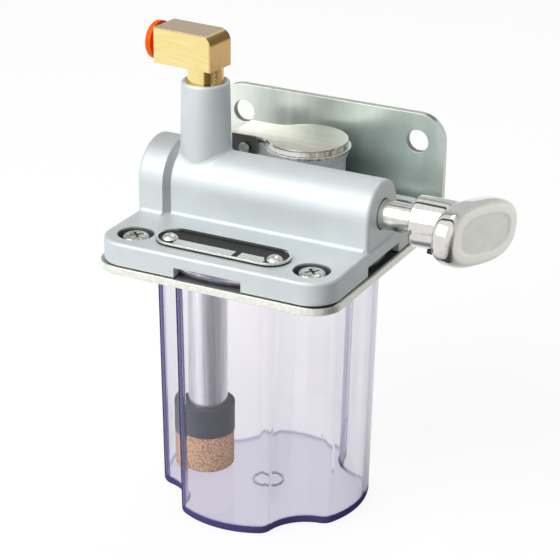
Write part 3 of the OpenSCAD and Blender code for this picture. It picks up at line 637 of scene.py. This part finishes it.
handle = surface("pull_handle", handle_surface())
chrome, tree, shader = new_finish("chrome", Metallic=1.0)
x = along(tree, "X")
FACE_X = HANDLE_AT[0]
brushed = grain(tree, 800, 4, (1, 0.15, 1))
polished = ramp(tree, brushed, [(0.3, (0.72, 0.71, 0.69)), (0.7, (0.80, 0.79, 0.77))])
rubbed = ramp(tree, brushed, [(0.3, (0.80, 0.795, 0.765)), (0.7, (0.88, 0.875, 0.845))])
satin = rise(tree, x, FACE_X - 1.5 * MM, FACE_X - 0.4 * MM)
border = rise(tree, x, FACE_X - 0.28 * MM, FACE_X - 0.04 * MM)
wire(tree, shader, {
    "Base Color": blended(tree, border, blended(tree, satin, polished, rubbed), (0.99, 0.97, 0.925, 1)),
    "Roughness": between(tree, satin, 0.07, 0.36),
})
rounded(tree, shader, 0.1 * MM, brushed, 0.03)
handle.data.materials.append(chrome)
dress(chrome, "handle")
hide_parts("handle")
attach(handle, "plunger")


# Suction tube and filter
# A drawn aluminium tube with fine lengthwise lines, a dark plastic collar at its foot, and a filter of
# sintered bronze beads.

aluminium, tree, shader = new_finish("aluminium", Metallic=1.0)
drawn = grain(tree, 1500, 4, (1, 1, 0.04))
wire(tree, shader, {
    "Base Color": ramp(tree, drawn, [(0.3, (0.66, 0.66, 0.68)), (0.7, (0.82, 0.82, 0.84))]),
    "Roughness": between(tree, grain(tree, 900, 4), 0.19, 0.30),
})
rounded(tree, shader, 0.2 * MM, drawn, 0.12)
dress(aluminium, "suction_tube")

dark_plastic, tree, shader = new_finish("dark_plastic")
scuff = grain(tree, 800, 4)
wire(tree, shader, {
    "Base Color": ramp(tree, scuff, [(0.3, (0.030, 0.033, 0.040)), (0.7, (0.055, 0.058, 0.068))]),
    "Roughness": between(tree, scuff, 0.45, 0.62),
})
rounded(tree, shader, 0.3 * MM, scuff, 0.1)
dress(dark_plastic, "filter_collar")

BEADS_PER_METRE = 1500.0
sintered_bronze, tree, shader = new_finish("sintered_bronze", Metallic=0.15)
bead_wires = {"Vector": place(tree), "Scale": BEADS_PER_METRE}
beads = put(tree, "ShaderNodeTexVoronoi", bead_wires).outputs["Distance"]
# Each bead is painted light in its middle and dark at its edge, a painted shade in the crevices between the
# beads.
beads_and_shade = ramp(tree, beads, [
    (0.12, (0.84, 0.54, 0.32)), (0.45, (0.66, 0.40, 0.22)), (0.78, (0.36, 0.19, 0.09))])
wire(tree, shader, {"Base Color": beads_and_shade, "Roughness": between(tree, beads, 0.45, 0.75)})
rounded(tree, shader, 0.3 * MM, beads, -0.35, 0.3 * MM)
dress(sintered_bronze, "filter_element")


# Outlet elbow
# Bar brass, milled square and turned at the stem. The cutter leaves fine lines along the faces. An orange
# plastic collar is pushed in to let the tube go.

brass, tree, shader = new_finish("brass", Metallic=1.0)
x = along(tree, "X")
z = along(tree, "Z")
to_x = facing_to(tree, "X")
to_z = facing_to(tree, "Z")
milled = grain(tree, 1100, 4, (0.12, 1, 1))
bright = ramp(tree, milled, [(0.3, (0.97, 0.75, 0.31)), (0.7, (1.0, 0.86, 0.41))])
painted_dim_top = ramp(tree, milled, [(0.3, (0.60, 0.46, 0.30)), (0.7, (0.72, 0.56, 0.37))])
shade_brown = ramp(tree, milled, [(0.3, (0.74, 0.47, 0.19)), (0.7, (0.80, 0.53, 0.23))])
painted_dark = (0.20, 0.12, 0.035, 1)

# The top is sawn, and painted duller as a painted reflection of the dim ceiling. The right end is painted
# brown, a painted shade on the side turned from the lamps. The rounded corner and a band down the stem are
# painted dark: a painted shade on the corner and a painted reflection on the stem.
ELBOW_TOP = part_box("outlet_elbow")[1].z
ELBOW_HEIGHT = 10.8 * MM
STEM_TOP = ELBOW_TOP - ELBOW_HEIGHT
RIGHT_SHADE_X = (-17.4 * MM, -16.8 * MM)
shaded_right_end = rise(tree, x, *RIGHT_SHADE_X)
sawn = rise(tree, z, ELBOW_TOP - 0.4 * MM, ELBOW_TOP - 0.2 * MM)
tilted = both(tree, rise(tree, to_z, 0.1, 0.3), fall(tree, to_z, 0.8, 0.95))
corner = both(tree, tilted, between(tree, to_x, 0, 0.85, 0.25, 0.4))
stem_side = both(tree, rise(tree, to_x, 0.35, 0.45), fall(tree, to_x, 0.68, 0.76))
on_stem = fall(tree, z, STEM_TOP - EDGE, STEM_TOP)
painted_dark_share = either(tree, corner, both(tree, on_stem, stem_side))
faces = blended(tree, painted_dark_share, blended(tree, shaded_right_end, bright, shade_brown), painted_dark)
wire(tree, shader, {
    "Base Color": blended(tree, without(tree, sawn, painted_dark_share), faces, painted_dim_top),
    "Roughness": between(tree, milled, 0.2, 0.32),
})
rounded(tree, shader, 0.2 * MM, milled, 0.02)
dress(brass, "outlet_elbow", "collar_guide", "suction_seat")

orange_plastic, tree, shader = new_finish("orange_plastic", Specular_IOR_Level=0.12)
scuff = grain(tree, 600, 3)
wire(tree, shader, {
    "Base Color": ramp(tree, scuff, [(0.3, (0.97, 0.10, 0.0)), (0.7, (1.0, 0.15, 0.001))]),
    "Roughness": between(tree, scuff, 0.28, 0.4),
})
rounded(tree, shader, 0.3 * MM)
dress(orange_plastic, "release_collar")


# Filler lid and cup
# Pressed steel with a warm nickel plating: a round lid with a rolled rim and a tongue to the hinge. The
# cup's ring is plated too, and its foot is painted with the casting.

nickel, tree, shader = new_finish("nickel", Metallic=1.0)
x = along(tree, "X")
z = along(tree, "Z")
lid_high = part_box("filler_lid")[1]
LID_TOP = lid_high.z
LID_R = 12.6 * MM
LID_AT = (lid_high.x - LID_R, 25.3 * MM, 0.0)
HINGE_SIDE = -14.5 * MM
WARM_X = (3 * MM, 6 * MM)
rubbed = grain(tree, 500, 4, (0.2, 1, 1))
plate = ramp(tree, rubbed, [(0.3, (0.62, 0.59, 0.54)), (0.7, (0.74, 0.72, 0.67))])
# Painted shade: toward the hinge and below the lid's top the plating is painted near black, where the
# hinge's shadow falls.
at_hinge = fall(tree, x, HINGE_SIDE, HINGE_SIDE + 2 * MM)
hinge_shade = both(tree, at_hinge, fall(tree, z, LID_TOP - 0.5 * MM, LID_TOP - 0.2 * MM))
# The rolled rim carries a painted highlight: near white and hardly metallic on its left, and knurled to the
# right with dark and light teeth.
teeth = grain(tree, 900, 4, (1, 1, 0.1))
painted_highlight = ramp(tree, teeth, [(0.3, (0.93, 0.92, 0.90)), (0.7, (1.0, 0.99, 0.97))])
warm = ramp(tree, teeth, [(0.35, (0.32, 0.27, 0.21)), (0.6, (1.0, 0.95, 0.84))])
rolled = blended(tree, rise(tree, x, *WARM_X), painted_highlight, warm)
from_lid = put(tree, "ShaderNodeVectorMath", {0: place(tree), 1: LID_AT}, operation="SUBTRACT").outputs[0]
on_plan = put(tree, "ShaderNodeVectorMath", {0: from_lid, 1: (1, 1, 0)}, operation="MULTIPLY").outputs[0]
at_rim = rise(tree, length(tree, on_plan), LID_R - 0.8 * MM, LID_R - 0.6 * MM)
rim = both(tree, at_rim, fall(tree, z, LID_TOP - 0.75 * MM, LID_TOP - 0.6 * MM))
wire(tree, shader, {
    "Base Color": blended(tree, hinge_shade, blended(tree, rim, plate, rolled), (0.10, 0.10, 0.10, 1)),
    "Metallic": between(tree, rim, 1.0, 0.1),
    "Roughness": between(tree, rubbed, 0.14, 0.26),
})
rounded(tree, shader, 0.3 * MM, rubbed, 0.04)
dress(nickel, "filler_lid")

PAINT_TOP = LID_TOP - 3.0 * MM
CUP_WARM_X = (1 * MM, 5 * MM)
pale_nickel, tree, shader = new_finish("pale_nickel", Metallic=0.35)
rubbed = grain(tree, 900, 4, (1, 1, 0.1))
upright_wall = fall(tree, facing_to(tree, "Z"), 0.3, 0.7)
to_right = both(tree, rise(tree, along(tree, "X"), *CUP_WARM_X), upright_wall)
# The cup's ring carries the same painted highlight: near white on its left, and knurled on its right wall.
painted_highlight = ramp(tree, rubbed, [(0.3, (0.86, 0.85, 0.83)), (0.7, (0.95, 0.94, 0.92))])
warm = ramp(tree, rubbed, [(0.35, (0.20, 0.17, 0.14)), (0.6, (0.78, 0.72, 0.62))])
painted = fall(tree, along(tree, "Z"), PAINT_TOP - EDGE, PAINT_TOP + EDGE)
wire(tree, shader, {
    "Base Color": blended(tree, painted, blended(tree, to_right, painted_highlight, warm), (0.66, 0.70, 0.715, 1)),
    "Roughness": either(tree, between(tree, rubbed, 0.2, 0.35), between(tree, painted, 0.0, 0.55)),
})
rounded(tree, shader, 0.2 * MM)
dress(pale_nickel, "filler_cup")


# Studio
# A pale floor and a white surround, lit by a large soft box at the front left and a strip over the back. In
# mirrors the surround has the dark gaps between the lamps, and the floor is greyer to the right.

FLOOR_HALF = 6.0
FLOOR_Z = -0.1 * MM
corners = np.array([[-1, -1], [1, -1], [1, 1], [-1, 1]]) * FLOOR_HALF
corners = np.column_stack([corners, np.full(4, FLOOR_Z)])
floor_mesh = bpy.data.meshes.new("floor")
floor_mesh.from_pydata(corners.tolist(), [], [(0, 1, 2, 3)])
floor = bpy.data.objects.new("floor", floor_mesh)
scene.collection.objects.link(floor)


def grey(level):
    """A neutral colour."""
    return (level, level, level)


def seen(tree, *kinds):
    """1 for a ray of one of these kinds."""
    path = put(tree, "ShaderNodeLightPath").outputs
    total = path[kinds[0]]
    for kind in kinds[1:]:
        total = either(tree, total, path[kind])
    return total


def mirrored_only(tree):
    """1 for a ray that a mirror has turned, also where it went through the tank after that."""
    path = put(tree, "ShaderNodeLightPath").outputs
    return both(tree, maths(tree, "GREATER_THAN", path["Glossy Depth"], 0.5), path["Is Glossy Ray"])


# What a mirror sees of the floor depends on the way out from the pump: greyer to the right, with one dark
# gap, and other tones all round where the ray also passes through the tank.
GAP_AT = -0.08
GAP_HALF = 0.38
floor_paint, tree = bare_finish("floor_paint")
where = put(tree, "ShaderNodeTexCoord").outputs["Object"]
way_out = put(tree, "ShaderNodeVectorMath", {0: where}, operation="NORMALIZE").outputs[0]
way = put(tree, "ShaderNodeSeparateXYZ", {0: way_out}).outputs
grey_side = ramp(tree, rise(tree, way["X"], -1, 1), [
    (0.0, grey(1)), (0.45, grey(0.95)), (0.73, (0.83, 0.83, 0.81)), (1.0, grey(0.42))])
gap = maths(tree, "COMPARE", way["Y"], GAP_AT, GAP_HALF)
dark_gap = both(tree, gap, maths(tree, "GREATER_THAN", way["X"], 0.0))
beside_tank = blended(tree, dark_gap, grey_side, (0.06, 0.06, 0.06, 1))
round_angle = maths(tree, "ARCTAN2", way["Y"], way["X"])
through_tank = ramp(tree, rise(tree, round_angle, -math.pi, math.pi), [
    (0.0, grey(0.8)),
    (0.08, (1.2, 1.19, 1.2)),
    (0.14, (1.6, 1.58, 1.6)),
    (0.22, grey(1.1)),
    (0.31, (0.38, 0.38, 0.39)),
    (0.40, (0.30, 0.30, 0.31)),
    (0.52, grey(0.45)),
    (0.62, grey(0.62)),
    (0.74, grey(0.95)),
    (1.0, grey(0.95)),
])
mirror_look = blended(tree, seen(tree, "Is Transmission Ray"), beside_tank, through_tank)
floor_mirror = put(tree, "ShaderNodeEmission", {"Color": mirror_look}).outputs[0]

# The eye sees the floor mostly white, with part of the shadow left in it, and whiter through the tank.
WHITE_TO_EYE = 0.72
WHITE_THROUGH = 0.86
shade = put(tree, "ShaderNodeBsdfDiffuse", {"Color": (0.8, 0.8, 0.8, 1)}).outputs[0]
white = put(tree, "ShaderNodeEmission", {"Color": (1, 1, 1, 1), "Strength": 1.15}).outputs[0]
by_eye = maths(tree, "MULTIPLY", seen(tree, "Is Camera Ray"), WHITE_TO_EYE)
through = maths(tree, "MULTIPLY", seen(tree, "Is Transmission Ray"), WHITE_THROUGH)
plain = mixed(tree, either(tree, by_eye, through), shade, white)
floor_look = mixed(tree, mirrored_only(tree), plain, floor_mirror)
wire(tree, tree.nodes["Material Output"], {"Surface": floor_look})
floor_mesh.materials.append(floor_paint)

# The surround is white to the eye and dimmer on the right as light. Mirrors see it with two dark bands.
world = bpy.data.worlds.new("surround")
scene.world = world
world.use_nodes = True
tree = world.node_tree
way = put(tree, "ShaderNodeSeparateXYZ", {0: put(tree, "ShaderNodeTexCoord").outputs["Generated"]}).outputs
dim_right = ramp(tree, rise(tree, way["X"], -1, 1), [
    (0.0, grey(1)), (0.5, (0.85, 0.86, 0.87)), (0.75, (0.32, 0.33, 0.34)), (1.0, (0.2, 0.21, 0.22))])
ambient = tree.nodes["Background"]
wire(tree, ambient, {"Color": dim_right, "Strength": 0.5})
banded = ramp(tree, rise(tree, way["Y"], -1, 1), [
    (0.0, grey(0.95)),
    (0.58, grey(0.95)),
    (0.59, grey(0.1)),
    (0.665, grey(0.1)),
    (0.685, grey(0.85)),
    (0.78, grey(0.85)),
    (0.83, grey(0.35)),
    (0.90, grey(0.66)),
    (1.0, grey(0.6)),
])
room = put(tree, "ShaderNodeBackground", {"Color": banded, "Strength": 1.0}).outputs[0]
clear = put(tree, "ShaderNodeBackground", {"Color": (1, 1, 1, 1), "Strength": 1.0}).outputs[0]
straight = mixed(tree, seen(tree, "Is Camera Ray", "Is Transmission Ray"), ambient.outputs[0], clear)
surround = mixed(tree, mirrored_only(tree), straight, room)
wire(tree, tree.nodes["World Output"], {"Surface": surround})


def soft_box(name, at, aim, size, power):
    """A square lamp at a point, facing aim."""
    lamp = bpy.data.lights.new(name, "AREA")
    lamp.size = size
    lamp.energy = power
    box = bpy.data.objects.new(name, lamp)
    box.location = at
    box.rotation_euler = (Vector(aim) - Vector(at)).to_track_quat("-Z", "Y").to_euler()
    scene.collection.objects.link(box)


MIDDLE = (0.0, 0.0, 0.09)
soft_box("key_box", at=(-0.35, -0.75, 0.75), aim=MIDDLE, size=1.0, power=9.0)
soft_box("back_strip", at=(0.0, 0.45, 0.85), aim=MIDDLE, size=0.25, power=1.0)

AZIMUTH = math.radians(27.02)
ELEVATION = math.radians(23.40)
ROLL = math.radians(0.621)
DISTANCE = 0.61794
AIM = Vector((0.00405, 0.0, 0.0709))
on_ground = math.cos(ELEVATION)
back = Vector((math.sin(AZIMUTH) * on_ground, -math.cos(AZIMUTH) * on_ground, math.sin(ELEVATION)))
lens = bpy.data.cameras.new("camera")
lens.sensor_width = 36.0
lens.lens = 131.72
camera = bpy.data.objects.new("camera", lens)
turn = (-back).to_track_quat("-Z", "Y").to_matrix() @ Matrix.Rotation(ROLL, 3, "Z")
camera.matrix_world = Matrix.LocRotScale(AIM + back * DISTANCE, turn.to_quaternion(), None)
scene.collection.objects.link(camera)
scene.camera = camera
scene.view_settings.view_transform = "Standard"
